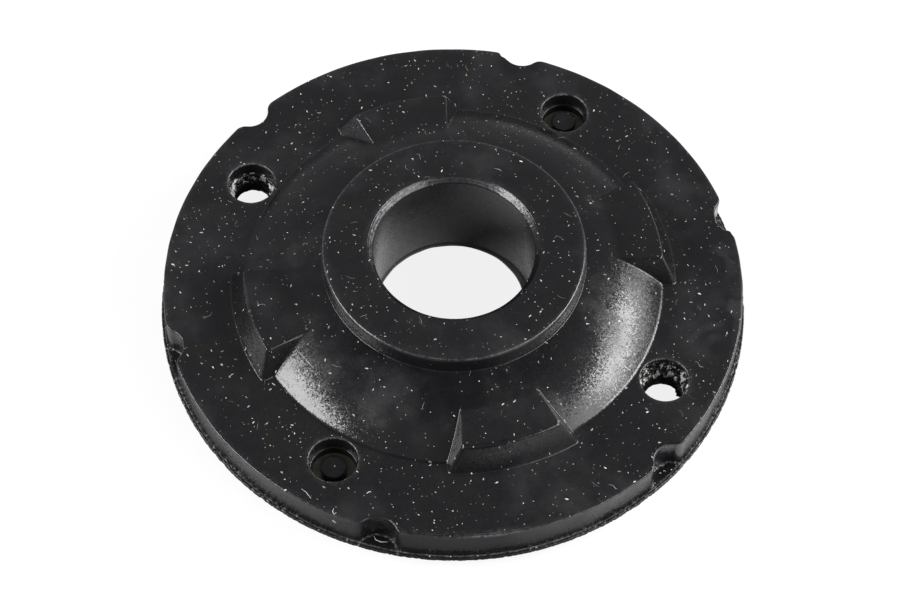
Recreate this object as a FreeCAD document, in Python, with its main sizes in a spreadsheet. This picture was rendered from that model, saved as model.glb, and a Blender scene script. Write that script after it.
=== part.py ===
import FreeCAD, Part

import math
import os

import Sketcher

# Radiator mount: a round rubber moulding with a steel plate bonded into its underside.
# Origin: centre of the spigot's foot. +Z runs up the bore, and two lugs lie on the X axis.
# Lengths are in millimetres and angles in degrees.

SIZES = {
    # flange of the moulding, and the lip round the foot of its rim
    "rim_diameter": 120.0,
    "flange_rubber": 5.65,
    "lip_overhang": 0.95,
    "lip_height": 1.1,
    # plate let into the flange's underside, inside the rim
    "plate_thickness": 2.8,
    "plate_edge_cover": 4.0,
    "bolt_hole_diameter": 7.7,
    "bolt_count": 2,
    "first_bolt_angle": 135.0,
    # bore, boss above the dome and spigot through the plate
    "bore_diameter": 33.0,
    "bore_chamfer": 1.2,
    "boss_diameter": 54.0,
    "boss_rise": 4.3,
    "boss_edge_radius": 0.8,
    "spigot_diameter": 44.0,
    "spigot_drop": 3.8,
    "spigot_chamfer": 1.0,
    # domed shoulder between the flange and the boss
    "dome_diameter": 86.7,
    "dome_rise": 7.9,
    "dome_arc_radius": 36.0,
    # lugs on the shoulder
    "lug_count": 4,
    "lug_rise": 5.8,
    "lug_outer_diameter": 86.1,
    "lug_root_setback": 3.5,
    "lug_span": 27.0,
    "lug_draft": 27.0,
    "lug_edge_radius": 0.4,
    # notches in the rim
    "notch_count": 6,
    "notch_depth": 2.6,
    "notch_radius": 4.0,
    "notch_mouth_radius": 2.5,
    # holes that the stepped pins leave where they hold the plate in the mould
    "pin_count": 4,
    "pin_inset": 11.0,
    "first_pin_angle": 45.0,
    "pin_diameter": 9.9,
    "pin_tip_diameter": 9.2,
    "pin_step_depth": 3.5,
}

WORKED_OUT = {
    "plate_top": "spigot_drop + plate_thickness",
    "plate_diameter": "rim_diameter - 2 * plate_edge_cover",
    "pin_circle_diameter": "rim_diameter - 2 * pin_inset",
    "lip_top": "spigot_drop + lip_height",
    "flange_top": "plate_top + flange_rubber",
    "lug_top": "flange_top + lug_rise",
    "crown_top": "flange_top + dome_rise",
    "boss_top": "crown_top + boss_rise",
    # inside the dome, clear of the boss's wall
    "lug_root_diameter": "boss_diameter + 2 * lug_root_setback",
}

doc = FreeCAD.newDocument("radiator_mount")
sheet = doc.addObject("Spreadsheet::Sheet", "Sizes")
cells = {alias: str(value) for alias, value in SIZES.items()}
cells.update({alias: "=" + formula for alias, formula in WORKED_OUT.items()})
for row, (alias, content) in enumerate(cells.items(), start=1):
    sheet.set(f"A{row}", alias)
    sheet.set(f"B{row}", content)
    sheet.setAlias(f"B{row}", alias)
    doc.recompute()


def size(formula):
    """The value of a formula in the sheet's aliases."""
    return float(sheet.evalExpression(formula))


def bound(formula):
    """The same formula as another object writes it, with each alias looked up in the sheet."""
    words = formula.replace("(", "( ").replace(")", " )").split()
    return " ".join("Sizes." + word if word in cells else word for word in words)


def new_body(label):
    body = doc.addObject("PartDesign::Body", label)
    body.Label = label
    body.Placement = FreeCAD.Placement()
    return body


def origin_of(body, role):
    return next(feature for feature in body.Origin.OriginFeatures if feature.Role == role)


def new_sketch(body, name, plane, level=None):
    """A sketch on an origin plane of the body, raised to a level of the sheet."""
    sketch = body.newObject("Sketcher::SketchObject", name)
    sketch.AttachmentSupport = (origin_of(body, plane), [""])
    sketch.MapMode = "FlatFace"
    if level:
        sketch.setExpression("AttachmentOffset.Base.z", bound(level))
    return sketch


def constrain(sketch, label, formula, kind, *where):
    """A named dimension whose value is a formula of the sheet's sizes."""
    sketch.addConstraint(Sketcher.Constraint(kind, *where, size(formula)))
    sketch.renameConstraint(sketch.ConstraintCount - 1, label)
    sketch.setExpression(f"Constraints.{label}", bound(formula))


def add_circle(sketch, name, diameter, distance=None, angle=None):
    """A circle at the origin, or at a distance from it and an angle from +X."""
    x, y = 0.0, 0.0
    if distance:
        x_formula = f"{distance} * cos( {angle} * 1 deg )"
        y_formula = f"{distance} * sin( {angle} * 1 deg )"
        x, y = size(x_formula), size(y_formula)
    circle = Part.Circle(FreeCAD.Vector(x, y, 0), FreeCAD.Vector(0, 0, 1), size(diameter) / 2)
    edge = sketch.addGeometry(circle)
    constrain(sketch, f"{name}_diameter", diameter, "Diameter", edge)
    if distance:
        constrain(sketch, f"{name}_x", x_formula, "DistanceX", -1, 1, edge, 3)
        constrain(sketch, f"{name}_y", y_formula, "DistanceY", -1, 1, edge, 3)
    else:
        sketch.addConstraint(Sketcher.Constraint("Coincident", edge, 3, -1, 1))


def arc_between(start, end, radius):
    """An arc from start to end that bulges to the right of the way from one to the other."""
    chord = end - start
    sagitta = radius - math.sqrt(radius**2 - (chord.Length / 2) ** 2)
    right = FreeCAD.Vector(chord.y, -chord.x, 0).normalize()
    return Part.Arc(start, (start + end) / 2 + right * sagitta, end)


def add_outline(sketch, corners, arcs):
    """A closed outline through corners given as (name, x, y). A corner named in arcs starts an arc."""
    points = [FreeCAD.Vector(size(x), size(y), 0) for name, x, y in corners]
    edges = []
    for (name, x, y), start, end in zip(corners, points, points[1:] + points[:1]):
        if name in arcs:
            edges.append(sketch.addGeometry(arc_between(start, end, size(arcs[name]))))
            constrain(sketch, f"{name}_radius", arcs[name], "Radius", edges[-1])
        else:
            edges.append(sketch.addGeometry(Part.LineSegment(start, end)))
    # An arc keeps its ends in turning order, so the end at its own corner is looked up.
    starts = [
        1 if sketch.getPoint(edge, 1).distanceToPoint(point) < 1e-6 else 2
        for edge, point in zip(edges, points)
    ]
    for i, edge in enumerate(edges):
        joined = (edge, starts[i], edges[i - 1], 3 - starts[i - 1])
        sketch.addConstraint(Sketcher.Constraint("Coincident", *joined))
    return edges, starts


def place_corners(sketch, corners, edges, starts):
    """Ties each corner of an outline to its distances from the origin."""
    for (name, x, y), edge, start in zip(corners, edges, starts):
        constrain(sketch, f"{name}_x", x, "DistanceX", -1, 1, edge, start)
        if size(y) == 0:
            sketch.addConstraint(Sketcher.Constraint("PointOnObject", edge, start, -1))
        else:
            constrain(sketch, f"{name}_y", y, "DistanceY", -1, 1, edge, start)


def add_pocket(body, name, sketch, depth=None):
    """A pocket below the sketch, to a depth or through all. It has to take material away."""
    before = body.Tip.Shape.Volume
    pocket = body.newObject("PartDesign::Pocket", name)
    pocket.Profile = sketch
    pocket.Type = "Length" if depth else "ThroughAll"
    if depth:
        pocket.setExpression("Length", bound(depth))
    doc.recompute()
    if not pocket.Shape.Volume < before:
        raise RuntimeError(f"{name} takes nothing away")
    return pocket


def add_pattern(body, name, feature, count):
    pattern = body.newObject("PartDesign::PolarPattern", name)
    pattern.Originals = [feature]
    pattern.Axis = (origin_of(body, "Z_Axis"), [""])
    pattern.Angle = 360
    pattern.setExpression("Occurrences", bound(count))
    body.Tip = pattern
    doc.recompute()
    return pattern


def add_rounding(body, name, radius, wanted):
    """Rounds each edge of the body's last feature that a test of its end points picks."""
    base = body.Tip
    picked = [
        f"Edge{number}"
        for number, edge in enumerate(base.Shape.Edges, start=1)
        if wanted([vertex.Point for vertex in edge.Vertexes])
    ]
    if not picked:
        raise RuntimeError(f"{name} finds no edge")
    rounding = body.newObject("PartDesign::Fillet", name)
    rounding.Base = (base, picked)
    rounding.setExpression("Radius", bound(radius))
    body.Tip = rounding
    doc.recompute()
    return rounding


def out_from_axis(point):
    return math.hypot(point.x, point.y)


def all_at(points, level, slack=1e-4):
    return all(abs(point.z - size(level)) < slack for point in points)


def is_lug_corner(point):
    """Whether the point is an outer corner of a lug's flat top."""
    outward = abs(out_from_axis(point) - size("lug_outer_diameter / 2"))
    return outward < 1e-3 and all_at([point], "lug_top")


# Rubber moulding, turned about the bore's axis, then given its lugs, notches and pin holes

rubber = new_body("rubber_body")

section = new_sketch(rubber, "moulding_section", "XZ_Plane")
section_corners = [
    ("bore_foot", "bore_diameter / 2", "0"),
    ("spigot_foot", "spigot_diameter / 2 - spigot_chamfer", "0"),
    ("spigot_edge", "spigot_diameter / 2", "spigot_chamfer"),
    ("spigot_root", "spigot_diameter / 2", "plate_top"),
    ("recess_corner", "plate_diameter / 2", "plate_top"),
    ("recess_mouth", "plate_diameter / 2", "spigot_drop"),
    ("lip_foot", "rim_diameter / 2 + lip_overhang", "spigot_drop"),
    ("lip_edge", "rim_diameter / 2 + lip_overhang", "lip_top"),
    ("rim_foot", "rim_diameter / 2", "lip_top"),
    ("rim_top", "rim_diameter / 2", "flange_top"),
    ("dome_foot", "dome_diameter / 2", "flange_top"),
    ("boss_foot", "boss_diameter / 2", "crown_top"),
    ("boss_edge", "boss_diameter / 2", "boss_top"),
    ("mouth_edge", "bore_diameter / 2 + bore_chamfer", "boss_top"),
    ("mouth_foot", "bore_diameter / 2", "boss_top - bore_chamfer"),
]
section_edges, section_starts = add_outline(section, section_corners, {"dome_foot": "dome_arc_radius"})
place_corners(section, section_corners, section_edges, section_starts)
moulding = rubber.newObject("PartDesign::Revolution", "moulding")
moulding.Profile = section
moulding.ReferenceAxis = (section, ["V_Axis"])
moulding.Angle = 360
rubber.Tip = moulding
doc.recompute()

# Each lug is drawn at its flat top and widens by its draft down to the flange. Its root is inside the dome.
lug_sketch = new_sketch(rubber, "lug_top_outline", "XY_Plane", "lug_top")
lug_corners = [
    (
        name,
        f"{diameter} / 2 * cos( lug_span / 2 * 1 deg )",
        f"{side} * {diameter} / 2 * sin( lug_span / 2 * 1 deg )",
    )
    for name, diameter, side in (
        ("root_right", "lug_root_diameter", "-1"),
        ("outer_right", "lug_outer_diameter", "-1"),
        ("outer_left", "lug_outer_diameter", "1"),
        ("root_left", "lug_root_diameter", "1"),
    )
]
lug_edges, lug_starts = add_outline(lug_sketch, lug_corners, {"outer_right": "lug_outer_diameter / 2"})
lug_sketch.addConstraint(Sketcher.Constraint("Coincident", lug_edges[1], 3, -1, 1))
for (name, x, y), edge, start in zip(lug_corners, lug_edges, lug_starts):
    constrain(lug_sketch, f"{name}_y", y, "DistanceY", -1, 1, edge, start)
    if name.startswith("root"):
        constrain(lug_sketch, f"{name}_x", x, "DistanceX", -1, 1, edge, start)
lug = rubber.newObject("PartDesign::Pad", "lug")
lug.Profile = lug_sketch
lug.Reversed = True
lug.setExpression("Length", bound("lug_rise"))
lug.setExpression("TaperAngle", bound("lug_draft"))
rubber.Tip = lug
doc.recompute()
add_pattern(rubber, "lugs", lug, "lug_count")

# The top's inner edge, where a lug meets the dome, stays sharp.
add_rounding(rubber, "lug_edges", "lug_edge_radius", lambda ends: any(map(is_lug_corner, ends)))

# The notches end on the lip, which runs on round the whole rim.
notch_sketch = new_sketch(rubber, "notch_outline", "XY_Plane", "flange_top")
notch_centre = "( rim_diameter / 2 - notch_depth + notch_radius )"
add_circle(notch_sketch, "notch", "2 * notch_radius", notch_centre, "0")
notch = add_pocket(rubber, "notch", notch_sketch, "flange_top - lip_top")
add_pattern(rubber, "notches", notch, "notch_count")
add_rounding(
    rubber,
    "notch_mouths",
    "notch_mouth_radius",
    lambda ends: len(ends) == 2
    and abs(out_from_axis(ends[0]) - size("rim_diameter / 2")) < 1e-4
    and abs(ends[0].x - ends[1].x) + abs(ends[0].y - ends[1].y) < 1e-4,
)

for name, diameter, depth in (
    ("pin_hole", "pin_diameter", "pin_step_depth"),
    ("pin_tip", "pin_tip_diameter", "flange_rubber"),
):
    hole_sketch = new_sketch(rubber, f"{name}_outline", "XY_Plane", "flange_top")
    add_circle(hole_sketch, name, diameter, "pin_circle_diameter / 2", "first_pin_angle")
    hole = add_pocket(rubber, name, hole_sketch, depth)
    add_pattern(rubber, f"{name}s", hole, "pin_count")

add_rounding(
    rubber,
    "boss_edge",
    "boss_edge_radius",
    lambda ends: all_at(ends, "boss_top")
    and all(abs(out_from_axis(end) - size("boss_diameter / 2")) < 1e-4 for end in ends),
)

# Steel plate, pressed flat, with the spigot through its middle and two bolt holes under two of the pin holes

plate = new_body("backing_plate")

disc_sketch = new_sketch(plate, "disc_outline", "XY_Plane", "spigot_drop")
add_circle(disc_sketch, "disc", "plate_diameter")
add_circle(disc_sketch, "spigot_hole", "spigot_diameter")
disc = plate.newObject("PartDesign::Pad", "disc")
disc.Profile = disc_sketch
disc.setExpression("Length", bound("plate_thickness"))
plate.Tip = disc
doc.recompute()

bolt_sketch = new_sketch(plate, "bolt_hole_outline", "XY_Plane", "plate_top")
add_circle(bolt_sketch, "bolt_hole", "bolt_hole_diameter", "pin_circle_diameter / 2", "first_bolt_angle")
bolt_hole = add_pocket(plate, "bolt_hole", bolt_sketch, "plate_thickness")
add_pattern(plate, "bolt_holes", bolt_hole, "bolt_count")

# Every feature has to be sound before a file is written

doc.recompute()
failed = [obj.Name for obj in doc.Objects if {"Invalid", "Error"} & set(obj.State)]
for body in (rubber, plate):
    if body.Shape.isNull() or not body.Shape.isValid() or len(body.Shape.Solids) != 1:
        failed.append(body.Name)
if failed:
    raise RuntimeError("not sound: " + ", ".join(failed))

os.makedirs("parts", exist_ok=True)
for body in (rubber, plate):
    body.Shape.exportStep(f"parts/{body.Label}.step")
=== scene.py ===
import math

import bpy
import numpy as np
from mathutils import Matrix, Vector
from mathutils.geometry import delaunay_2d_cdt


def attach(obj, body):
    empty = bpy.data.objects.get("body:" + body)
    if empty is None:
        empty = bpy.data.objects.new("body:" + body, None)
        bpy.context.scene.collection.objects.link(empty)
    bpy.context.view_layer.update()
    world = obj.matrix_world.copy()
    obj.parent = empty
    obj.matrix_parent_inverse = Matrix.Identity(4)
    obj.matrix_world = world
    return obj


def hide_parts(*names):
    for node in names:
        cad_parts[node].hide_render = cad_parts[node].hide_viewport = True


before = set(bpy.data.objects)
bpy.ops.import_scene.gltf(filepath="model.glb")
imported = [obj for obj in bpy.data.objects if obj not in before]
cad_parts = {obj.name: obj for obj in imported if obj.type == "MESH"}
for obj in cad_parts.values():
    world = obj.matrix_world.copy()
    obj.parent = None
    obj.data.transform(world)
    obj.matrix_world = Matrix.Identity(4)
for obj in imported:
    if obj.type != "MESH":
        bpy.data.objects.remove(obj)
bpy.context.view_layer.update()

# Backing plate: a flat disc of 2.8 mm steel, blanked and pierced in a press, primed and coated dull black.
# The mould wraps it in rubber, so it shows only underneath, round the two bolt holes, and at the foot of
# the two blind holes, where pins held it while the rubber was pressed round it.

# Every size is in millimetres until a mesh is made.
plate_foot, plate_top, plate_radius = 3.8, 6.6, 56.0
plate_rounding, plate_edge, bolt_edge = 0.15, 0.3, 0.2
spigot_radius = 22.0
pin_circle = 49.0
bolt_turns, bolt_radius = (135, 315), 3.85
blind_turns = (45, 225)


def circle(radius, count, centre=(0, 0)):
    """Points round a circle, and the directions out from its centre."""
    turn = np.linspace(0, 2 * np.pi, count, endpoint=False)
    out = np.c_[np.cos(turn), np.sin(turn)]
    return np.array(centre) + radius * out, out


def place(radius, turn):
    """The point at a distance from the bore's axis and a turn in degrees about it."""
    return radius * np.array([math.cos(math.radians(turn)), math.sin(math.radians(turn))])


def ripple(turn, seed, waves, height):
    """A closed random wave round a full turn, made of waves between two counts."""
    draw, many = np.random.default_rng(seed), 24
    counts = draw.integers(waves[0], waves[1], many)
    starts = draw.uniform(0, 2 * np.pi, many)
    return height * np.sin(turn[:, None] * counts + starts).sum(axis=1) / math.sqrt(many / 2)


def rounded(*corners):
    """A section through corners (outward, height, rounding). Its normals are to the right of its path."""
    legs = list(zip(corners, corners[1:]))
    rows = []
    for i, (outward, height, radius) in enumerate(corners):
        ways = [np.subtract(end[:2], start[:2]) for start, end in legs[max(i - 1, 0) : i + 1]]
        ways = [way / np.hypot(*way) for way in ways]
        sides = [math.atan2(-way[0], way[1]) for way in ways]
        if radius and len(ways) == 2:
            bend = (sides[1] - sides[0] + math.pi) % (2 * math.pi) - math.pi
            reach = math.copysign(radius, bend)
            side = np.array([math.cos(sides[0]), math.sin(sides[0])])
            middle = np.array([outward, height]) - ways[0] * radius * math.tan(abs(bend) / 2) - reach * side
            for turned in sides[0] + bend * np.linspace(0, 1, 6):
                normal = np.array([math.cos(turned), math.sin(turned)])
                rows.append([*(middle + reach * normal), *normal])
        else:
            rows += [[outward, height, math.cos(turned), math.sin(turned)] for turned in sides]
    return np.array(rows)


def divided(section, step):
    """The same section with its straight runs cut into lengths no longer than a step."""
    rows = [section[0]]
    for start, end in zip(section, section[1:]):
        pieces = max(1, math.ceil(np.hypot(*(end[:2] - start[:2])) / step))
        rows += [start + (end - start) * i / pieces for i in range(1, pieces + 1)]
    return np.array(rows)


def strip_faces(rows, count):
    """The triangles between rows of points that each close on themselves."""
    here = np.arange(rows * count).reshape(rows, count)
    ahead = np.roll(here, -1, axis=1)
    halves = ((here[:-1], ahead[:-1], ahead[1:]), (here[:-1], ahead[1:], here[1:]))
    return np.concatenate([np.stack(corners, -1).reshape(-1, 3) for corners in halves])


def wall(edge, out, section):
    """A strip that carries a section round a closed outline: points, normals and triangles."""
    rows, count = len(section), len(edge)
    points = np.zeros((rows, count, 3))
    normals = np.zeros((rows, count, 3))
    points[..., :2] = edge + out * section[:, None, 0:1]
    points[..., 2] = section[:, 1:2]
    normals[..., :2] = out * section[:, None, 2:3]
    normals[..., 2] = section[:, 3:4]
    return points.reshape(-1, 3), normals.reshape(-1, 3), strip_faces(rows, count)


def within(points, loop):
    """Which points lie inside a closed loop."""
    x, y = points[:, 0:1], points[:, 1:2]
    x0, y0 = loop[:, 0], loop[:, 1]
    x1, y1 = np.roll(x0, -1), np.roll(y0, -1)
    rise = np.where(y1 == y0, 1e-12, y1 - y0)
    crosses = ((y0 > y) != (y1 > y)) & (x < x0 + (y - y0) * (x1 - x0) / rise)
    return crosses.sum(axis=1) % 2 == 1


def sheet(loops, inner, height, side):
    """A surface over the first loop, less the other loops, at a height given for each place."""
    points = np.vstack([*loops, inner])
    edges, start = [], 0
    for loop in loops:
        edges += [(start + i, start + (i + 1) % len(loop)) for i in range(len(loop))]
        start += len(loop)
    flat, _, faces, origins, _, _ = delaunay_2d_cdt(points.tolist(), edges, [], 0, 1e-6, True)
    flat, faces = np.array([tuple(point) for point in flat]), np.array(faces)
    on_loop = np.array([min(origin, default=0) < start for origin in origins])
    doubtful = on_loop[faces].all(axis=1)
    middles = flat[faces[doubtful]].mean(axis=1)
    kept = within(middles, loops[0])
    for loop in loops[1:]:
        kept &= ~within(middles, loop)
    faces = np.concatenate([faces[~doubtful], faces[doubtful][kept]])
    x, y = flat.T
    step = 0.01
    slope_x = (height(x + step, y) - height(x - step, y)) / (2 * step)
    slope_y = (height(x, y + step) - height(x, y - step)) / (2 * step)
    normals = side * np.c_[-slope_x, -slope_y, np.ones(len(x))]
    normals /= np.linalg.norm(normals, axis=1)[:, None]
    return np.c_[flat, height(x, y)], normals, faces


def level(z):
    """A surface at the same height everywhere."""
    return lambda x, y: np.full(np.shape(x), float(z))


def joined(name, patches, shift=None, marks=None):
    """One mesh object from patches that meet. Shift moves its points, and marks gives them attributes."""
    points = np.vstack([patch[0] for patch in patches])
    normals = np.vstack([patch[1] for patch in patches])
    starts = np.cumsum([0] + [len(patch[0]) for patch in patches])
    corners = np.concatenate([patch[2] + start for patch, start in zip(patches, starts)])
    _, first, index = np.unique(np.round(points, 4), axis=0, return_index=True, return_inverse=True)
    index = index.reshape(-1)
    faces = index[corners]
    whole = (faces[:, 0] != faces[:, 1]) & (faces[:, 1] != faces[:, 2]) & (faces[:, 2] != faces[:, 0])
    faces, corners = faces[whole], corners[whole]
    spots = points[first]
    a, b, c = (spots[faces[:, i]] for i in range(3))
    inward = (np.cross(b - a, c - a) * normals[corners].sum(axis=1)).sum(axis=1) < 0
    faces[inward] = faces[inward][:, ::-1]
    corners[inward] = corners[inward][:, ::-1]
    moved = spots if shift is None else shift(spots)
    # Where the shift stirs an edge, its own facets catch the light instead of the smooth section.
    a, b, c = (moved[faces[:, i]] for i in range(3))
    facing = np.zeros_like(moved)
    for i in range(3):
        np.add.at(facing, faces[:, i], np.cross(b - a, c - a))
    facing /= np.maximum(np.linalg.norm(facing, axis=1), 1e-12)[:, None]
    least_stir = 0.012
    stirred = np.hypot(*(moved - spots)[:, :2].T) > least_stir
    corner_normals = np.where(stirred[faces][..., None], facing[faces], normals[corners])
    mesh = bpy.data.meshes.new(name)
    mesh.from_pydata((moved / 1000).tolist(), [], faces.tolist())
    mesh.polygons.foreach_set("use_smooth", np.ones(len(faces), bool))
    for label, values in (marks(spots) if marks else {}).items():
        layer = mesh.attributes.new(label, "FLOAT", "POINT")
        layer.data.foreach_set("value", values.astype(np.float32))
    mesh.normals_split_custom_set(corner_normals.reshape(-1, 3).tolist())
    piece = bpy.data.objects.new(name, mesh)
    bpy.context.scene.collection.objects.link(piece)
    return piece


def crumble(spots, seed, size):
    """A random height for each point that changes over about a size in every direction."""
    draw, many = np.random.default_rng(seed), 20
    height = np.zeros(len(spots))
    for _ in range(many):
        way = draw.normal(size=3)
        way *= 2 * np.pi / (size * draw.uniform(0.7, 1.8) * np.linalg.norm(way))
        height += np.sin(spots @ way + draw.uniform(0, 2 * np.pi))
    return height / math.sqrt(many / 2)


def bell(value, middle, width):
    """1 at a middle, less on both sides of it, and next to nothing from twice a width away."""
    return np.exp(-(((value - middle) / width) ** 2))


def about_hole(spots, turn):
    """The way from the axis of the hole at a turn to each spot, and how long it is."""
    across = spots[:, :2] - place(pin_circle, turn)
    return across, np.hypot(*across.T)


def scraps(spots):
    """A scrap of rubber hangs into the second bolt hole, and both edges are ragged with coating."""
    moved = spots.copy()
    for number, turn in enumerate(bolt_turns):
        across, away = about_hole(spots, turn)
        bearing = np.degrees(np.arctan2(across[:, 1], across[:, 0]))
        scrap = 0.7 * bell(bearing, 3, 5) + 0.4 * bell(bearing, 17, 5)
        scrap = scrap * number + 0.05 * crumble(spots, 5 + number, 0.8)
        scrap *= away < bolt_radius + 0.1
        moved[:, :2] -= scrap[:, None] * across / np.maximum(away, 1)[:, None]
    return moved


plate_rim, plate_out = circle(plate_radius, 720)
plate_rim_section = rounded((-plate_edge, plate_foot, 0), (0, plate_foot, plate_rounding), (0, plate_top, 0))
spigot_hole, spigot_out = circle(spigot_radius, 180)
patches = [wall(plate_rim, plate_out, plate_rim_section)]
patches.append(wall(spigot_hole, -spigot_out, rounded((0, plate_foot, 0), (0, plate_top, 0))))
holes = {plate_top: [plate_rim, spigot_hole], plate_foot: [plate_rim - plate_out * plate_edge, spigot_hole]}
bolt_section = rounded(
    (-bolt_edge, plate_foot, 0),
    (0, plate_foot, plate_rounding),
    (0, plate_top, plate_rounding),
    (-bolt_edge, plate_top, 0),
)
bolt_section = divided(bolt_section, 0.4)
for turn in bolt_turns:
    hole, out = circle(bolt_radius, 120, place(pin_circle, turn))
    patches.append(wall(hole, -out, bolt_section))
    for height in holes:
        holes[height].append(hole + out * bolt_edge)
# Rings of points at the foot of the blind holes give the bare patch of primer there its edge.
primer_rings = [circle(radius, 60, place(pin_circle, turn))[0] for turn in blind_turns for radius in (2.5, 5)]
for height, side in ((plate_top, 1), (plate_foot, -1)):
    patches.append(sheet(holes[height], np.vstack(primer_rings), level(height), side))
plate = joined("backing_plate_coated", patches, shift=scraps)


def srgb(code):
    """A colour written as sRGB hex, turned into linear light."""
    parts = [int(code[i : i + 2], 16) / 255 for i in (1, 3, 5)]
    parts = [part / 12.92 if part <= 0.04045 else ((part + 0.055) / 1.055) ** 2.4 for part in parts]
    return (*parts, 1.0)


def add_node(tree, kind, inputs=None, **settings):
    """Adds a node. An input given as another node's output is linked to it, and any other is set."""
    node = tree.nodes.new("ShaderNode" + kind)
    for name, value in settings.items():
        setattr(node, name, value)
    for name, value in (inputs or {}).items():
        if isinstance(value, bpy.types.NodeSocket):
            tree.links.new(value, node.inputs[name])
        else:
            node.inputs[name].default_value = value
    return node


def reckon(tree, operation, *values):
    """One step of arithmetic on numbers."""
    return add_node(tree, "Math", dict(enumerate(values)), operation=operation).outputs[0]


def steer(tree, operation, *values, **scale):
    """One step of arithmetic on places and directions, which gives a number where the step measures."""
    node = add_node(tree, "VectorMath", {**dict(enumerate(values)), **scale}, operation=operation)
    return node.outputs["Value" if operation in ("DISTANCE", "DOT_PRODUCT", "LENGTH") else "Vector"]


def remap(tree, value, starts, ends, **settings):
    """Carries a value from one range to another, and holds it at the ends."""
    inputs = {0: value, 1: starts[0], 2: starts[1], 3: ends[0], 4: ends[1]}
    return add_node(tree, "MapRange", inputs, **settings).outputs[0]


def blend(tree, share, *colours):
    """A colour that lies a share of the way from one to the other. Each is sRGB hex or a node's output."""
    first, second = (srgb(colour) if isinstance(colour, str) else colour for colour in colours)
    return add_node(tree, "Mix", {0: share, 6: first, 7: second}, data_type="RGBA").outputs[2]


def noise(tree, places, size, **inputs):
    """Random clouds of about a size in millimetres."""
    return add_node(tree, "TexNoise", {"Vector": places, "Scale": 1 / size, **inputs}).outputs[0]


def new_material(name):
    """An empty node material, with places in millimetres and the way that each place faces."""
    material = bpy.data.materials.new(name)
    material.use_nodes = True
    tree = material.node_tree
    tree.nodes.clear()
    coordinates = add_node(tree, "TexCoord").outputs
    places = steer(tree, "SCALE", coordinates["Object"], Scale=1000.0)
    return material, tree, places, coordinates["Normal"]


def dress(piece, material, tree, inputs):
    """Gives a material its surface, and gives a piece the material."""
    shader = add_node(tree, "BsdfPrincipled", inputs)
    add_node(tree, "OutputMaterial", {0: shader.outputs[0]})
    piece.data.materials.append(material)


def specks(tree, places, spacing, radius, share, stretch=0.0, fade=0.0, flat=False):
    """Spots scattered in cells, round or drawn out at random, on a share of the cells, some of them faint."""
    if flat:
        places = steer(tree, "MULTIPLY", places, (1, 1, 0))
    cells = add_node(tree, "TexVoronoi", {"Vector": places, "Scale": 1 / spacing})
    cells.voronoi_dimensions = "2D" if flat else "3D"
    middle = cells.outputs["Position"]
    dice = add_node(tree, "TexWhiteNoise", {"Vector": middle})
    drawn = steer(tree, "SUBTRACT", dice.outputs["Color"], (0.5, 0.5, 0.5))
    axis = steer(tree, "NORMALIZE", steer(tree, "MULTIPLY", drawn, (1, 1, 0 if flat else 1)))
    away = steer(tree, "SUBTRACT", places, middle)
    shrunk = reckon(tree, "MULTIPLY", steer(tree, "DOT_PRODUCT", away, axis), -stretch)
    away = steer(tree, "ADD", away, steer(tree, "SCALE", axis, Scale=shrunk))
    reach = remap(tree, dice.outputs["Value"], (0, 1), (radius * 0.4, radius))
    chance = add_node(tree, "SeparateColor", {0: cells.outputs["Color"]}).outputs
    spot = reckon(tree, "LESS_THAN", steer(tree, "LENGTH", away), reach)
    chosen = reckon(tree, "LESS_THAN", chance[0], share)
    kept = reckon(tree, "MULTIPLY", spot, chosen)
    return reckon(tree, "MULTIPLY", kept, reckon(tree, "POWER", chance[1], fade))


# Black paint on pressed steel: dull, thin and pitted, with rubber smeared over it and pale and rusty crumbs
# stuck in it. It looks a rougher and dirtier black than the moulding.
coated_steel, tree, places, _ = new_material("coated_steel_dull_black")
smears = noise(tree, places, 2.6, Detail=4.0, Roughness=0.65)
grit = noise(tree, places, 0.5, Detail=3.0, Roughness=0.6)
paint = blend(tree, smears, "#0f0f0f", "#24231f")
tint = blend(tree, smears, "#8a857c", "#5b4a3c")
colour = blend(tree, specks(tree, places, 0.8, 0.16, 0.4), paint, tint)
rough = remap(tree, smears, (0.3, 0.7), (0.42, 0.75))
bump = add_node(tree, "Bump", {"Height": grit, "Distance": 0.00025, "Strength": 1.0}).outputs[0]
dress(plate, coated_steel, tree, {"Base Color": colour, "Roughness": rough, "IOR": 1.5, "Normal": bump})

# Bonding primer: an olive-grey film of adhesive, brushed on and baked, which shows where a blind pin
# held the plate and the rubber never reached it.
bonding_primer, tree, places, _ = new_material("bonding_primer_olive")
film = noise(tree, places, 2.2, Detail=4.0, Roughness=0.6)
colour = blend(tree, film, "#56554a", "#a8a592")
colour = blend(tree, specks(tree, places, 1.1, 0.14, 0.3), colour, "#c8c6ba")
bump = add_node(tree, "Bump", {"Height": film, "Distance": 0.0003, "Strength": 0.7}).outputs[0]
dress(plate, bonding_primer, tree, {"Base Color": colour, "Roughness": 0.35, "IOR": 1.5, "Normal": bump})

centres = np.zeros(len(plate.data.polygons) * 3)
plate.data.polygons.foreach_get("center", centres)
centres = centres.reshape(-1, 3) * 1000
bare, bare_radius = np.zeros(len(centres), np.int32), 6
for turn in blind_turns:
    _, away = about_hole(centres, turn)
    bare |= ((away < bare_radius) & (centres[:, 2] > plate_foot + 0.5)).astype(np.int32)
plate.data.polygons.foreach_set("material_index", bare)
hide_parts("backing_plate")
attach(plate, "root")

# Rubber body: one compression moulding of black rubber, bonded to the plate. Its flange has six notches
# in its rim over a thin lip, its domed shoulder carries four drafted lugs, and the bore runs down through a
# raised boss. Its edges are the mould's own: tightly rounded, nicked, and rough along the lip.

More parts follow.
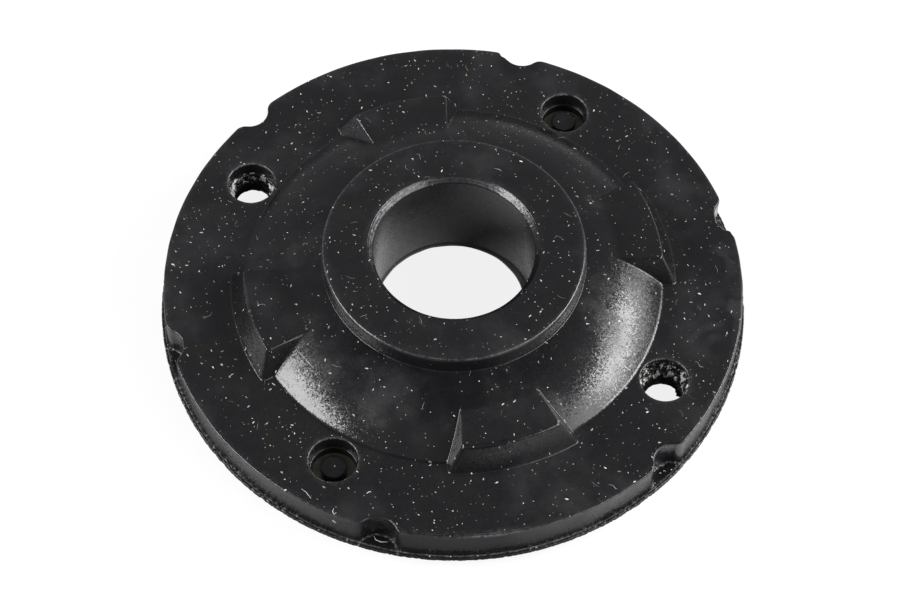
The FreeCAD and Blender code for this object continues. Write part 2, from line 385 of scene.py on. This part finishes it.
rim_radius, flange_top = 60.0, 12.25
lip_radius, lip_top = 60.95, 4.9
notch_count, notch_centre, notch_radius, notch_mouth = 6, 61.4, 4.0, 2.5
rim_rounding = 0.45
dome_foot_radius, boss_radius, crown_top = 43.35, 27.0, 20.15
dome_arc_radius = 36.0
lug_top, lug_outer_radius, lug_half_turn, lug_draft = 18.05, 43.05, 13.5, 27.0
lug_corner, lug_crease, dome_crease = 0.9, 0.45, 0.42
boss_top, bore_radius, bore_chamfer = 24.45, 16.5, 1.2
pin_radius, pin_tip_radius, pin_step = 4.95, 4.6, 3.5
# The rubber torn round the bolt holes. A pair has a value for each hole. The last pair sets how much of the
# torn rubber gets painted highlights.
torn_radius, torn_top, torn_depths, torn_glint_least = 4.0, 7.35, (3.3, 0.5), (0.35, 0.85)
pip_radius, pip_top = 2.6, 9.2
hole_rounding = 0.3


def notched_rim():
    """The flange seen from above, anticlockwise: its outline and the directions out of the rubber."""
    mouth = rim_radius - notch_mouth
    reach = notch_radius + notch_mouth
    turn = math.acos((mouth**2 + notch_centre**2 - reach**2) / (2 * mouth * notch_centre))
    middle = np.array([mouth * math.cos(turn), mouth * math.sin(turn)])
    inner = math.atan2(-middle[1], notch_centre - middle[0])
    arcs = (
        (middle * (1, -1), notch_mouth, -turn, -inner),
        (np.array([notch_centre, 0]), -notch_radius, -inner, inner),
        (middle, notch_mouth, inner, turn),
        (np.zeros(2), rim_radius, turn, 2 * math.pi / notch_count - turn),
    )
    edge, outs = [], []
    for number in range(notch_count):
        about = 2 * math.pi * number / notch_count
        spin = np.array([[math.cos(about), -math.sin(about)], [math.sin(about), math.cos(about)]])
        for centre, radius, start, end in arcs:
            steps = max(6, math.ceil(abs(radius * (end - start)) / 0.42))
            angle = np.linspace(start, end, steps, endpoint=False)
            out = np.c_[np.cos(angle), np.sin(angle)]
            edge.append((centre + radius * out) @ spin.T)
            outs.append(out @ spin.T)
    edge, outs = np.vstack(edge), np.vstack(outs)
    turn = np.arctan2(edge[:, 1], edge[:, 0])
    depth = ripple(turn, 11, (5, 60), 0.02)
    # A nick in one notch's mouth and a torn stretch in the next.
    for spot, half_width, bite in ((63.6, 0.7, 0.55), (-2.6, 0.9, 0.45), (-0.9, 0.6, 0.3), (-4.4, 0.7, 0.3)):
        along = np.degrees((turn - math.radians(spot) + math.pi) % (2 * math.pi) - math.pi)
        depth = depth + bite * bell(along, 0, half_width / 1.1)
    return edge - outs * depth[:, None], outs


def crease(high, low, width):
    """The higher of two surfaces, with the crease between them filled over a width."""
    return np.maximum(high, low) + np.maximum(width - np.abs(high - low), 0) ** 2 / (4 * width)


def arris(high, low, width):
    """The lower of two surfaces, with the edge between them rounded over a width."""
    return np.minimum(high, low) - np.maximum(width - np.abs(high - low), 0) ** 2 / (4 * width)


def shoulder(x, y):
    """The moulding's upper face: flange, dome and lugs."""
    radius = np.hypot(x, y)
    chord = math.hypot(dome_foot_radius - boss_radius, crown_top - flange_top)
    lean = math.sqrt(dome_arc_radius**2 - (chord / 2) ** 2) / chord
    arc_radius = (dome_foot_radius + boss_radius) / 2 - lean * (crown_top - flange_top)
    arc_height = (flange_top + crown_top) / 2 - lean * (dome_foot_radius - boss_radius)
    dome = arc_height + np.sqrt(np.maximum(dome_arc_radius**2 - (radius - arc_radius) ** 2, 1.0))
    turn = (np.degrees(np.arctan2(y, x)) + 45) % 90 - 45
    along, across = radius * np.cos(np.radians(turn)), radius * np.abs(np.sin(np.radians(turn)))
    half = math.radians(lug_half_turn)
    past_end = radius - lug_outer_radius
    past_flank = across * math.cos(half) - along * math.sin(half)
    past = crease(past_end, past_flank, lug_corner)
    wear = 0.6 + 0.25 * np.sin(x * 0.31 + y * 0.23 + 1.0)
    lug = arris(lug_top + 0 * past, lug_top - past / math.tan(math.radians(lug_draft)), wear)
    return crease(crease(dome, flange_top + 0 * dome, dome_crease), lug, lug_crease)


def close_points(surface, inner, outer):
    """Places on rings about the bore, closer together wherever the surface bends."""
    size_r, size_t = 1.0, math.radians(1.0)
    radii = np.arange(inner, outer, size_r)
    turns = np.radians(np.arange(0, 360, 1.0))
    low_r, low_t = (grid.reshape(-1) for grid in np.meshgrid(radii, turns, indexing="ij"))
    places, last, most_off = [], 3, 0.006
    for depth in range(last + 1):
        r = low_r[:, None] + size_r * np.array([0, 0.5, 1, 0, 0.5, 1, 0, 0.5, 1])
        t = low_t[:, None] + size_t * np.array([0, 0, 0, 0.5, 0.5, 0.5, 1, 1, 1])
        z = surface(r * np.cos(t), r * np.sin(t))
        ends = z[:, [0, 2, 6, 8]]
        between = (ends[:, :2], ends[:, 2:], ends[:, ::2], ends[:, 1::2], ends)
        flat = np.stack([part.mean(axis=1) for part in between], axis=1)
        off = np.abs(z[:, [1, 7, 3, 5, 4]] - flat).max(axis=1)
        split = (off > most_off) & (depth < last)
        for corner in (0, 2, 6, 8):
            places.append(np.c_[r[~split, corner], t[~split, corner]])
        low_r = (low_r[split][:, None] + size_r / 2 * np.array([0, 0, 1, 1])).reshape(-1)
        low_t = (low_t[split][:, None] + size_t / 2 * np.array([0, 1, 0, 1])).reshape(-1)
        size_r, size_t = size_r / 2, size_t / 2
    r, t = np.vstack(places).T
    xy = np.c_[r * np.cos(t), r * np.sin(t)]
    _, first = np.unique(np.round(xy, 3), axis=0, return_index=True)
    return xy[np.sort(first)]


def settle(spots):
    """What moulding leaves: slow hollows in the faces, a ragged lip, and torn rubber round the bolts."""
    draw = np.random.default_rng(21)
    moved = spots.copy()
    x, y, z = spots.T
    radius = np.hypot(x, y)
    turn = np.arctan2(y, x)
    lift = np.zeros(len(spots))
    for _ in range(14):
        bearing, wave, start = draw.uniform(0, np.pi), draw.uniform(9, 34), draw.uniform(0, 2 * np.pi)
        lift += np.sin((x * math.cos(bearing) + y * math.sin(bearing)) * 2 * np.pi / wave + start)
    moved[:, 2] -= np.abs(lift) * 0.008 * np.clip((z - 9) / 3, 0, 1)
    # The lip is thin flash: its edge wanders in, and its top is rough. Beads of it cling to the rim's foot.
    on_lip = (radius > 57) * np.clip((lip_top + 0.1 - z) / 0.1, 0, 1)
    edge_in = on_lip * np.clip((radius - 60.4) / 0.3, 0, 1)
    wander = np.clip(np.abs(ripple(turn, 3, (20, 90), 0.06) + 0.05 * crumble(spots, 4, 0.9)), 0, 0.3)
    bead = np.clip(0.5 * ripple(turn, 31, (60, 300), 0.3) + 0.12 * crumble(spots, 32, 0.7), 0, 0.3)
    foot = (radius > 56.5) * (radius < 60.3) * (z > lip_top - 0.01) * bell(z, lip_top, 0.35)
    moved[:, :2] += ((foot * bead - edge_in * wander) / np.maximum(radius, 1))[:, None] * spots[:, :2]
    moved[:, 2] -= on_lip * (z > plate_foot + 0.6) * np.clip(0.1 * crumble(spots, 39, 0.7) + 0.05, 0, 0.3)
    for number, angle in enumerate(bolt_turns):
        across, away = about_hole(spots, angle)
        start = flange_top - torn_depths[number]
        deep = np.clip((start - z) / 1.2, 0, 1) * (away < pin_radius + 0.3) * (z > plate_top + 0.05)
        torn = 0.2 * crumble(spots, 33 + number, 1.8) + 0.07 * crumble(spots, 35 + number, 0.7)
        moved[:, :2] -= (deep * (torn + 0.05) / np.maximum(away, 1))[:, None] * across
        moved[:, 2] += deep * 0.2 * crumble(spots, 37 + number, 1.4)
    return moved


def wear_and_painted_highlights(spots):
    """Where the surface is painted pale: wear at the bore's mouth and other edges, with painted highlights on
    the mouth's far half, along the notches' feet and where its rubber is torn.
    """
    x, y, z = spots.T
    radius = np.hypot(x, y)
    turn = np.arctan2(y, x)
    mouth = bell(radius, bore_radius + 0.6, 0.45) * (z > boss_top - 1.2)
    # Only the far half of the mouth is painted pale, most of all at its two sides: wear, with a painted
    # highlight on the chamfer there.
    back_turn = 73
    from_back = (np.degrees(turn) - back_turn + 180) % 360 - 180
    mouth *= np.minimum(bell(from_back, 62, 38) + 0.8 * bell(from_back, -42, 26), 1)
    rim = bell(np.maximum(rim_radius - radius, 0), 0, 0.5) * bell(z, flange_top, 0.5)
    rim *= 0.3 + 0.9 * bell(np.degrees(turn), -98, 5)
    edges = bell(z, boss_top, 0.5) * bell(radius, boss_radius, 0.5)
    holes, torn = np.zeros((2, len(spots)))
    for angle in (*bolt_turns, *blind_turns):
        _, away = about_hole(spots, angle)
        holes = np.maximum(holes, bell(away, pin_radius, 0.22) * (z > flange_top - 0.5))
    # Lumps of the torn rubber and a ring at its ledge get painted highlights: they are painted near white.
    for number, angle in enumerate(bolt_turns):
        _, away = about_hole(spots, angle)
        deep = (z < flange_top - torn_depths[number] - 0.1) & (z > plate_top + 0.3)
        painted_glints = crumble(spots, 41 + number, 1.3) + 0.6 * crumble(spots, 43 + number, 0.5)
        painted_glints += 0.7 * bell(z, torn_top + 0.3, 0.4)
        painted_glints = np.clip((painted_glints - torn_glint_least[number]) / 0.7, 0, 1)
        torn = np.maximum(torn, (away < pin_radius + 0.05) * deep * painted_glints)
    in_notch = (turn + math.pi / notch_count) % (2 * math.pi / notch_count) - math.pi / notch_count
    gap = np.hypot(radius * np.cos(in_notch) - notch_centre, radius * np.sin(in_notch)) - notch_radius
    # The pale line along the foot of each notch's wall is a painted highlight on the flash there.
    flash = bell(gap, 0, 0.15) * (radius > 57) * (np.abs(z - lip_top) < 0.3)
    lip = (radius > 60.1) * (radius < 60.65) * (np.abs(z - lip_top) < 0.05)
    wear_and_highlight = 0.8 * mouth + 0.35 * rim + 0.25 * edges + 0.4 * holes + 0.4 * lip + 0.7 * flash
    return {"wear_and_highlight": np.clip(wear_and_highlight, 0, 1), "torn": torn}


rim, rim_out = notched_rim()
rim_section = rounded((-rim_rounding, flange_top, 0), (0, flange_top, rim_rounding), (0, lip_top, 0))
rim_section = divided(rim_section, 0.5)
rim_section[:, 2:] *= -1
patches = [wall(rim, rim_out, rim_section)]
boss_foot = boss_radius + 0.3
boss_ring, boss_out = circle(boss_foot, 360)
upper_loops = [rim - rim_out * rim_rounding, boss_ring]
hole_top = [
    (-hole_rounding, flange_top, 0),
    (0, flange_top, hole_rounding),
    (0, flange_top - pin_step, 0.05),
    (pin_radius - pin_tip_radius, flange_top - pin_step, 0.25),
]
# The pins at the bolt holes tore the rubber as they came out, and left a ragged ledge of it on the plate.
torn_foot = [
    (pin_radius - pin_tip_radius, torn_top + 0.3, 0.2),
    (pin_radius - torn_radius, torn_top, 0.25),
    (pin_radius - torn_radius, plate_top, 0),
]
plain_foot = [(pin_radius - pin_tip_radius, plate_top, 0)]
pin_loops, pin_points = [], 150
for turn in (*bolt_turns, *blind_turns):
    hole, out = circle(pin_radius, pin_points, place(pin_circle, turn))
    hole_foot = torn_foot if turn in bolt_turns else plain_foot
    hole_section = divided(rounded(*hole_top, *hole_foot), 0.25)
    hole_section[:, 2:] *= -1
    patches.append(wall(hole, -out, hole_section))
    upper_loops.append(hole + out * hole_rounding)
    pin_loops.append(hole - out * hole_section[-1, 0])

# The pins of the blind holes are hollow, and each leaves a round pip of rubber standing on the plate.
pip_edge = 0.5
pip_section = rounded((0, plate_top, 0), (0, pip_top, 0.3), (-pip_edge, pip_top, 0))
for turn in blind_turns:
    pip, out = circle(pip_radius, 72, place(pin_circle, turn))
    patches.append(wall(pip, out, pip_section))
    patches.append(sheet([pip - out * pip_edge], np.zeros((0, 2)), level(pip_top), 1))
    patches.append(sheet([pip], np.zeros((0, 2)), level(plate_top), -1))

inner = close_points(shoulder, boss_foot, rim_radius - 0.2)
for loop in upper_loops:
    if len(loop) == pin_points:
        away = np.hypot(*(inner - loop.mean(axis=0)).T)
        inner = inner[away > pin_radius + hole_rounding + 0.25]
near = np.hypot(*inner.T) > rim_radius - 4.5
gap = np.array([np.hypot(*(upper_loops[0] - point).T).min() for point in inner[near]])
kept = np.ones(len(inner), bool)
kept[near] = (gap > 0.25) & within(inner[near], upper_loops[0])
kept &= np.hypot(*inner.T) > boss_foot + 0.2
patches.append(sheet(upper_loops, inner[kept], shoulder, 1))

lathe_section = divided(
    rounded(
        (boss_foot, float(shoulder(np.array(boss_foot), np.array(0.0))), 0),
        (boss_radius, crown_top, 0.3),
        (boss_radius, boss_top, 0.8),
        (bore_radius + bore_chamfer, boss_top, 0.3),
        (bore_radius, boss_top - bore_chamfer, 0.3),
        (bore_radius, 1.2, 0),
        (bore_radius - 0.2, 0.7, 0.1),
        (bore_radius - 0.2, 0, 0.1),
        (spigot_radius - 1, 0, 0.2),
        (spigot_radius, 1, 0.3),
        (spigot_radius, plate_top, 0),
    ),
    1.2,
)
points, normals, faces = wall(boss_ring * 0, boss_out, lathe_section)
# The bore's foot keeps a lip of mould flash, wide on one side and hardly there on the other.
radius = np.hypot(points[:, 0], points[:, 1])
turn = np.arctan2(points[:, 1], points[:, 0])
flash = bell(turn, math.radians(-20), 0.75) + 0.05 + ripple(turn, 8, (3, 30), 0.03)
inward = flash * np.clip((1.2 - points[:, 2]) / 0.5, 0, 1) * (radius < bore_radius + 0.4)
points[:, :2] -= (inward / radius)[:, None] * points[:, :2]
patches.append((points, normals, faces))
spigot_loop = spigot_radius * boss_out
patches.append(sheet([plate_rim, spigot_loop, *pin_loops], np.zeros((0, 2)), level(plate_top), -1))
patches.append(wall(plate_rim, -plate_out, rounded((0, plate_foot, 0), (0, plate_top, 0))))

lip, lip_out = circle(lip_radius, 1440)
lip_edge = 0.25
lip_section = rounded(
    (-lip_edge, lip_top, 0), (0, lip_top, 0.2), (0, plate_foot, 0.12), (-lip_edge, plate_foot, 0)
)
lip_section = divided(lip_section, 0.3)
lip_section[:, 2:] *= -1
patches.append(wall(lip, lip_out, lip_section))
inner = np.vstack([circle(radius, 900)[0] for radius in np.arange(57.9, 60.6, 0.4)])
gap = np.array([np.hypot(*(rim - point).T).min() for point in inner])
inner = inner[(gap > 0.2) & ~within(inner, rim)]
patches.append(sheet([lip - lip_out * lip_edge, rim], inner, level(lip_top), 1))
patches.append(sheet([lip - lip_out * lip_edge, plate_rim], np.zeros((0, 2)), level(plate_foot), -1))
rubber = joined("rubber_body_moulding", patches, shift=settle, marks=wear_and_painted_highlights)

# Moulded black rubber: carbon-filled, with a satin skin and the fine grain of a spark-cut mould, which
# breaks its highlights into glitter. Talc lies on it as a faint cloudy film, as specks of 0.1 to 0.5 mm
# and as short hairs, and handling has scuffed one side of the flange.
moulded_rubber, tree, places, facing = new_material("moulded_rubber_satin_black")
clouds = noise(tree, places, 15.0, Detail=6.0, Roughness=0.62)
mottle = noise(tree, places, 3.2, Detail=4.0, Roughness=0.6)
stains = noise(tree, places, 9.0, Detail=3.0, Distortion=1.2)
upward = add_node(tree, "SeparateXYZ", {0: facing}).outputs[2]
skin = blend(tree, mottle, "#121214", "#1b1b1e")
skin = blend(tree, remap(tree, stains, (0.45, 0.7), (0.0, 0.7)), skin, "#1e1c18")
scuffed = remap(tree, clouds, (0.46, 0.74), (0.0, 0.7), interpolation_type="SMOOTHSTEP")
smear = remap(tree, stains, (0.42, 0.56), (0.0, 1.0))
# The scuffs on one side of the flange: where each one's middle is, how far it reaches and how pale it is.
for *spot, reach, strength in ((50, -21, 12, 9.0, 0.9), (44.5, -28, 12, 6.0, 0.7), (54, -10, 12, 7.0, 0.6)):
    patch = remap(tree, steer(tree, "DISTANCE", places, spot), (reach, reach * 0.35), (0.0, strength))
    scuffed = reckon(tree, "MAXIMUM", scuffed, reckon(tree, "MULTIPLY", smear, patch))
film = reckon(tree, "MULTIPLY", scuffed, remap(tree, upward, (0.1, 0.9), (0.12, 1.0)))
colour = blend(tree, film, skin, "#2e2e30")

# Rubbed edges are pale in patches and in fine rings about the axis. The same pale paint is a painted
# highlight on the mouth's far half and along the notches' feet. Torn rubber is paler still: painted
# highlights.
scuffs = noise(tree, places, 0.8, Detail=4.0, Roughness=0.7)
rings = add_node(
    tree,
    "TexWave",
    {"Vector": places, "Scale": 0.7, "Distortion": 1.5, "Detail": 2.0, "Detail Scale": 0.4},
    wave_type="RINGS",
    rings_direction="Z",
)
rub_and_highlight = add_node(tree, "Attribute", attribute_name="wear_and_highlight").outputs["Fac"]
rub_and_highlight = reckon(tree, "MULTIPLY", rub_and_highlight, remap(tree, scuffs, (0.38, 0.62), (0.1, 1.0)))
rub_and_highlight = reckon(tree, "MULTIPLY", rub_and_highlight, remap(tree, rings.outputs["Fac"], (0.25, 0.75), (0.35, 1.0)))
colour = blend(tree, rub_and_highlight, colour, "#b4b4b6")
# Torn rubber is painted near white: painted highlights on its lumps and its ledge.
torn_painted_highlight = add_node(tree, "Attribute", attribute_name="torn").outputs["Fac"]
colour = blend(tree, torn_painted_highlight, colour, "#dcdcd8")

# Every speck and hair has a ragged or bent outline, because its places are shaken. The flat ones lie on
# upward faces, and the last kind clings to every face.
shake = add_node(tree, "TexNoise", {"Vector": places, "Scale": 1 / 0.35, "Detail": 1.0}).outputs["Color"]
ragged = steer(tree, "ADD", places, steer(tree, "SCALE", shake, Scale=0.12))
bends = add_node(tree, "TexNoise", {"Vector": places, "Scale": 1 / 1.6, "Detail": 0.0}).outputs["Color"]
bent = steer(tree, "ADD", places, steer(tree, "SCALE", bends, Scale=1.4))
crowd = remap(tree, stains, (0.35, 0.65), (0.35, 1.3))
lying = reckon(tree, "MULTIPLY", crowd, remap(tree, upward, (0.25, 0.6), (0.0, 1.0)))
dust = 0.0
for spread, spacing, radius, part, stretch, fade, flat, white in (
    (ragged, 1.00, 0.11, 0.26, 0.3, 2.2, True, 0.9),
    (ragged, 2.40, 0.15, 0.26, 0.6, 0.9, True, 1.0),
    (bent, 3.60, 0.040, 0.14, 0.965, 0.5, True, 0.5),
    (ragged, 0.90, 0.10, 0.12, 0.3, 1.2, False, 0.7),
):
    share = reckon(tree, "MULTIPLY", lying, part) if flat else part
    layer = specks(tree, spread, spacing, radius, share, stretch, fade, flat)
    dust = reckon(tree, "MAXIMUM", dust, reckon(tree, "MULTIPLY", layer, white))
colour = blend(tree, dust, colour, "#dad9d4")
sheen = remap(tree, clouds, (0.3, 0.7), (0.15, 0.21))
dull = reckon(tree, "MULTIPLY_ADD", reckon(tree, "MAXIMUM", rub_and_highlight, scuffed), 0.3, sheen)
rough = add_node(tree, "Mix", {0: dust, 2: dull, 3: 0.9}, data_type="FLOAT").outputs[0]

# The mould's grain is some 0.1 mm. It is drawn at 0.25 mm, the finest that shows, and each grain leans its
# own way, so one glints where the next is dark.
grain = add_node(tree, "TexVoronoi", {"Vector": places, "Scale": 1 / 0.25}).outputs["Color"]
lean = steer(tree, "SCALE", steer(tree, "SUBTRACT", grain, (0.5, 0.5, 0.5)), Scale=0.1)
surface = add_node(tree, "NewGeometry").outputs["Normal"]
grained = steer(tree, "NORMALIZE", steer(tree, "ADD", surface, lean))
waves = add_node(tree, "Bump", {"Height": mottle, "Distance": 0.00001, "Strength": 1.0, "Normal": grained})
bump = waves.outputs[0]
dress(rubber, moulded_rubber, tree, {"Base Color": colour, "Roughness": rough, "IOR": 1.5, "Normal": bump})
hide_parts("rubber_body")
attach(rubber, "root")

# Lint: hairs of white cloth, crumbs of talc and one pink fleck of plastic that lie on the rubber. They stay
# where the packing left them, and show as thin bent lines and bright dots. One white crumb, on the near pip,
# is a painted glint.

# Each has a radius and a path. A crumb's path is short.
lint_places = (
    (0.075, ((-18.95, 1.26, 24.37), (-18.25, 1.12, 24.37), (-17.55, 1.38, 24.35), (-17.14, 1.77, 24.2))),
    (0.07, ((14.14, 12.64, 24.37), (14.46, 12.11, 24.37), (14.76, 11.61, 24.37))),
    (0.08, ((-30.35, -43.9, 12.27), (-29.58, -43.53, 12.3), (-29.24, -43.79, 12.27))),
    (0.06, ((-37.25, -45.22, 12.27), (-37.72, -45.89, 12.3), (-37.61, -46.61, 12.27), (-37, -46.21, 12.27))),
    (0.05, ((-42.44, -39.27, 12.26), (-41.68, -40.3, 12.27), (-41.02, -42.1, 12.26))),
    (0.08, ((-42.3, -14.73, 13.1), (-41.76, -15.48, 13.1))),
    (0.09, ((-51.21, -7.14, 12.27), (-50.81, -7.74, 12.27))),
    (0.06, ((-50.21, -10.47, 12.27), (-49.07, -10.05, 12.27))),
    (0.06, ((-38.29, -47.68, 12.27), (-37.7, -48.53, 12.27))),
    (0.05, ((-36.28, -9.61, 16.27), (-34.58, -13.63, 16.47), (-32.87, -17.48, 16.44))),
    (0.09, ((-30.42, -49.6, 5.0), (-30.23, -50.59, 5.0), (-29.39, -51.28, 5.0), (-27.96, -51.68, 5.0))),
    (0.14, ((-21.1, -56.9, 4.95), (-20.8, -56.9, 4.95))),
    (0.11, ((-17.1, -58.0, 4.95), (-16.8, -58.1, 4.95))),
    (0.12, ((-11.8, -59.3, 4.95), (-11.6, -59.3, 4.95))),
    (0.14, ((29.6, -50.93, 4.95), (29.9, -51.0, 4.95))),
    (0.10, ((28.7, -51.3, 4.95), (28.9, -51.2, 4.95))),
    (0.13, ((31.1, -51.2, 4.95), (31.4, -51.0, 4.95))),
    (0.11, ((32.4, -50.49, 4.95), (32.6, -50.4, 4.95))),
    # A white crumb on the middle of the near pip's top: a painted glint.
    (0.16, ((-34.6, -34.5, 9.22), (-34.3, -34.55, 9.22))),
    (0.15, ((-47.6, 1.6, 12.3), (-47.3, 1.6, 12.3))),
)


def hair(radius, path):
    """A bent thread with pointed ends: rings of six points along its path."""
    corners, longest_step = 6, 0.12
    path = np.array(path)
    past = np.r_[0, np.cumsum(np.linalg.norm(np.diff(path, axis=0), axis=1))]
    along = np.linspace(0, past[-1], max(4, math.ceil(past[-1] / longest_step)) + 1)
    middle = np.stack([np.interp(along, past, path[:, i]) for i in range(3)], -1)
    way = np.gradient(middle, axis=0)
    side = np.cross(way, (0, 0, 1))
    side /= np.linalg.norm(side, axis=1)[:, None]
    rise = np.cross(side, way)
    rise /= np.linalg.norm(rise, axis=1)[:, None]
    turn = np.arange(corners)[:, None] * 2 * math.pi / corners
    normals = side[:, None] * np.cos(turn) + rise[:, None] * np.sin(turn)
    thick = radius * np.sqrt(np.abs(np.sin(np.pi * along / past[-1])))
    points = middle[:, None] + normals * thick[:, None, None]
    return points.reshape(-1, 3), normals.reshape(-1, 3), strip_faces(len(along), corners)


lint = joined("lint_and_crumbs", [hair(radius, path) for radius, path in lint_places])

# Cotton and talc: white, chalky and quite dull, and a little greyer in some places than in others. The one
# fleck of pink plastic is told from them by its place.
cotton, tree, places, _ = new_material("cotton_and_talc_white")
white = blend(tree, noise(tree, places, 0.8, Detail=2.0), "#b4b2aa", "#f2f1ec")
pink = reckon(tree, "LESS_THAN", steer(tree, "DISTANCE", places, (-47.44, 1.6, 12.3)), 1.0)
colour = blend(tree, pink, white, "#e08090")
dress(lint, cotton, tree, {"Base Color": colour, "Roughness": 0.85, "IOR": 1.5})
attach(lint, "root")

# Floor: a white table top, which takes the part's shadow and, with the painted light and painted shade of its
# glow, lights the part's sides. It lies under a sheet of light opal acrylic, which only the camera sees. So
# the floor is pale through the holes, and their walls stay dark.
for name, metres_down in (("white_table_top", 0.0004), ("opal_sheet", 0.0)):
    bpy.ops.mesh.primitive_plane_add(size=3.0, location=(0, 0, -metres_down))
    bpy.context.object.name = name
table_top, floor = bpy.data.objects["white_table_top"], bpy.data.objects["opal_sheet"]
table_top.visible_camera = False
floor.visible_diffuse = floor.visible_glossy = floor.visible_transmission = floor.visible_shadow = False
# White paint on the table: dull, so it shows no reflection. Its glow is painted light, as if it were lit from
# both sides, and more from the right. Painted shade makes it dark under the part and in front of it, where
# the part shades it, and the painted light fades further out.
table_paint, tree, places, _ = new_material("table_painted_light_and_shade")
# The lights and the camera share the view's turn and height, in degrees.
camera_turn, camera_height = -16.7, 57.77
to_right = (math.cos(math.radians(camera_turn)), math.sin(math.radians(camera_turn)), 0)
across = steer(tree, "DOT_PRODUCT", places, to_right)
away = steer(tree, "LENGTH", places)
left = remap(tree, across, (-12.0, -48.0), (0.01, 0.52))
right = remap(tree, across, (12.0, 58.0), (0.0, 1.15))
near = remap(tree, away, (62.4, 64.4), (0.03, 1.0))
far = remap(tree, away, (110.0, 240.0), (1.0, 0.2))
lit = reckon(tree, "MULTIPLY", near, far)
painted_glow = reckon(tree, "MULTIPLY", reckon(tree, "ADD", left, right), lit)
# The paint's own colour is darker under the part and further out: painted shade.
paint = blend(tree, lit, "#303030", "#8a8a8a")
# Painted light also stands for light that comes down the bore: it falls on both sides of the bore's axis,
# more on the left.
painted_bore_light_left = remap(tree, across, (3.0, -8.0), (0.08, 0.72))
painted_bore_light_right = remap(tree, across, (3.0, 11.0), (0.0, 0.36))
in_bore = reckon(tree, "LESS_THAN", away, 20.0)
painted_glow = reckon(tree, "MULTIPLY_ADD", reckon(tree, "ADD", painted_bore_light_left, painted_bore_light_right), in_bore, painted_glow)
paint = {"Base Color": paint, "Roughness": 0.6, "IOR": 1.5}
white_light = (1.0, 1.0, 1.0, 1.0)
dress(table_top, table_paint, tree, {**paint, "Emission Color": white_light, "Emission Strength": painted_glow})

# Opal acrylic, lit from behind: an even light grey, without an edge or a shadow.
opal_acrylic, tree, _, _ = new_material("opal_acrylic_lit")
acrylic = {"Base Color": srgb("#7a7a7a"), "Roughness": 0.6, "IOR": 1.49}
dress(floor, opal_acrylic, tree, {**acrylic, "Emission Color": white_light, "Emission Strength": 0.85})

# Light: a small softbox on the left and a wide one on the right whose lamp shows as a brighter middle. The
# room is dim, with a dark ceiling.


def stance(spot, *axes):
    """The pose of something at a spot, from the three ways that its axes point."""
    return Matrix.Translation(spot) @ Matrix(axes).transposed().to_4x4()


def add_softbox(name, turn, height, width, depth, brightness):
    """A softbox, as wide and deep as angles in degrees, at a turn from the view's direction and a height."""
    turn = math.radians(turn - camera_turn)
    height = math.radians(height)
    distance = 2.0
    way = Vector((math.sin(turn) * math.cos(height), math.cos(turn) * math.cos(height), math.sin(height)))
    lamp = bpy.data.lights.new(name, "AREA")
    lamp.shape = "RECTANGLE"
    lamp.size, lamp.size_y = (2 * distance * math.tan(math.radians(angle) / 2) for angle in (width, depth))
    lamp.energy = brightness * math.pi * lamp.size * lamp.size_y
    box = bpy.data.objects.new(name, lamp)
    sideways = Vector((0, 0, 1)).cross(way).normalized()
    box.matrix_world = stance(way * distance, sideways, way.cross(sideways), way)
    bpy.context.scene.collection.objects.link(box)


add_softbox("left_softbox", -103, 31, 40, 16, 14.5)
add_softbox("right_softbox", 99, 32, 80, 23, 4.4)
add_softbox("right_softbox_middle", 83, 35, 32, 10, 15.0)
world = bpy.data.worlds.new("dim_studio")
world.use_nodes = True
tree = world.node_tree
tree.nodes.clear()
way = add_node(tree, "TexCoord").outputs["Generated"]
height = add_node(tree, "SeparateXYZ", {0: way}).outputs[2]
walls = remap(tree, height, (0.86, 0.97), (0.27, 0.03), interpolation_type="SMOOTHSTEP")
# The walls are darker low down in front, too.
front = steer(tree, "DOT_PRODUCT", way, (to_right[1], -to_right[0], 0))
low = remap(tree, height, (0.2, 0.5), (0.3, 1.0))
strength = reckon(tree, "MULTIPLY", walls, remap(tree, front, (0.25, 0.6), (1.0, low)))
room = add_node(tree, "Background", {0: srgb("#fafbff"), 1: strength})
add_node(tree, "OutputWorld", {0: room.outputs[0]})
bpy.context.scene.world = world
bpy.context.scene.view_settings.view_transform = "Standard"

# Camera: at the photograph's viewing angle, a long lens a little over half a metre away.
camera_roll, camera_distance = 1.08, 0.5725
tilt, turn, roll = (math.radians(angle) for angle in (camera_height, camera_turn, camera_roll))
back = Vector((math.sin(turn) * math.cos(tilt), -math.cos(turn) * math.cos(tilt), math.sin(tilt)))
right = Vector((math.cos(turn), math.sin(turn), 0))
up = back.cross(right)
across = right * math.cos(roll) + up * math.sin(roll)
upright = up * math.cos(roll) - right * math.sin(roll)
lens = bpy.data.cameras.new("camera")
lens.sensor_width = 36.0
lens.lens = 109.12
camera = bpy.data.objects.new("camera", lens)
bpy.context.scene.collection.objects.link(camera)
aim = Vector((-0.000564, 0.000347, 0.0038))
camera.matrix_world = stance(aim + back * camera_distance, across, upright, back)
bpy.context.scene.camera = camera
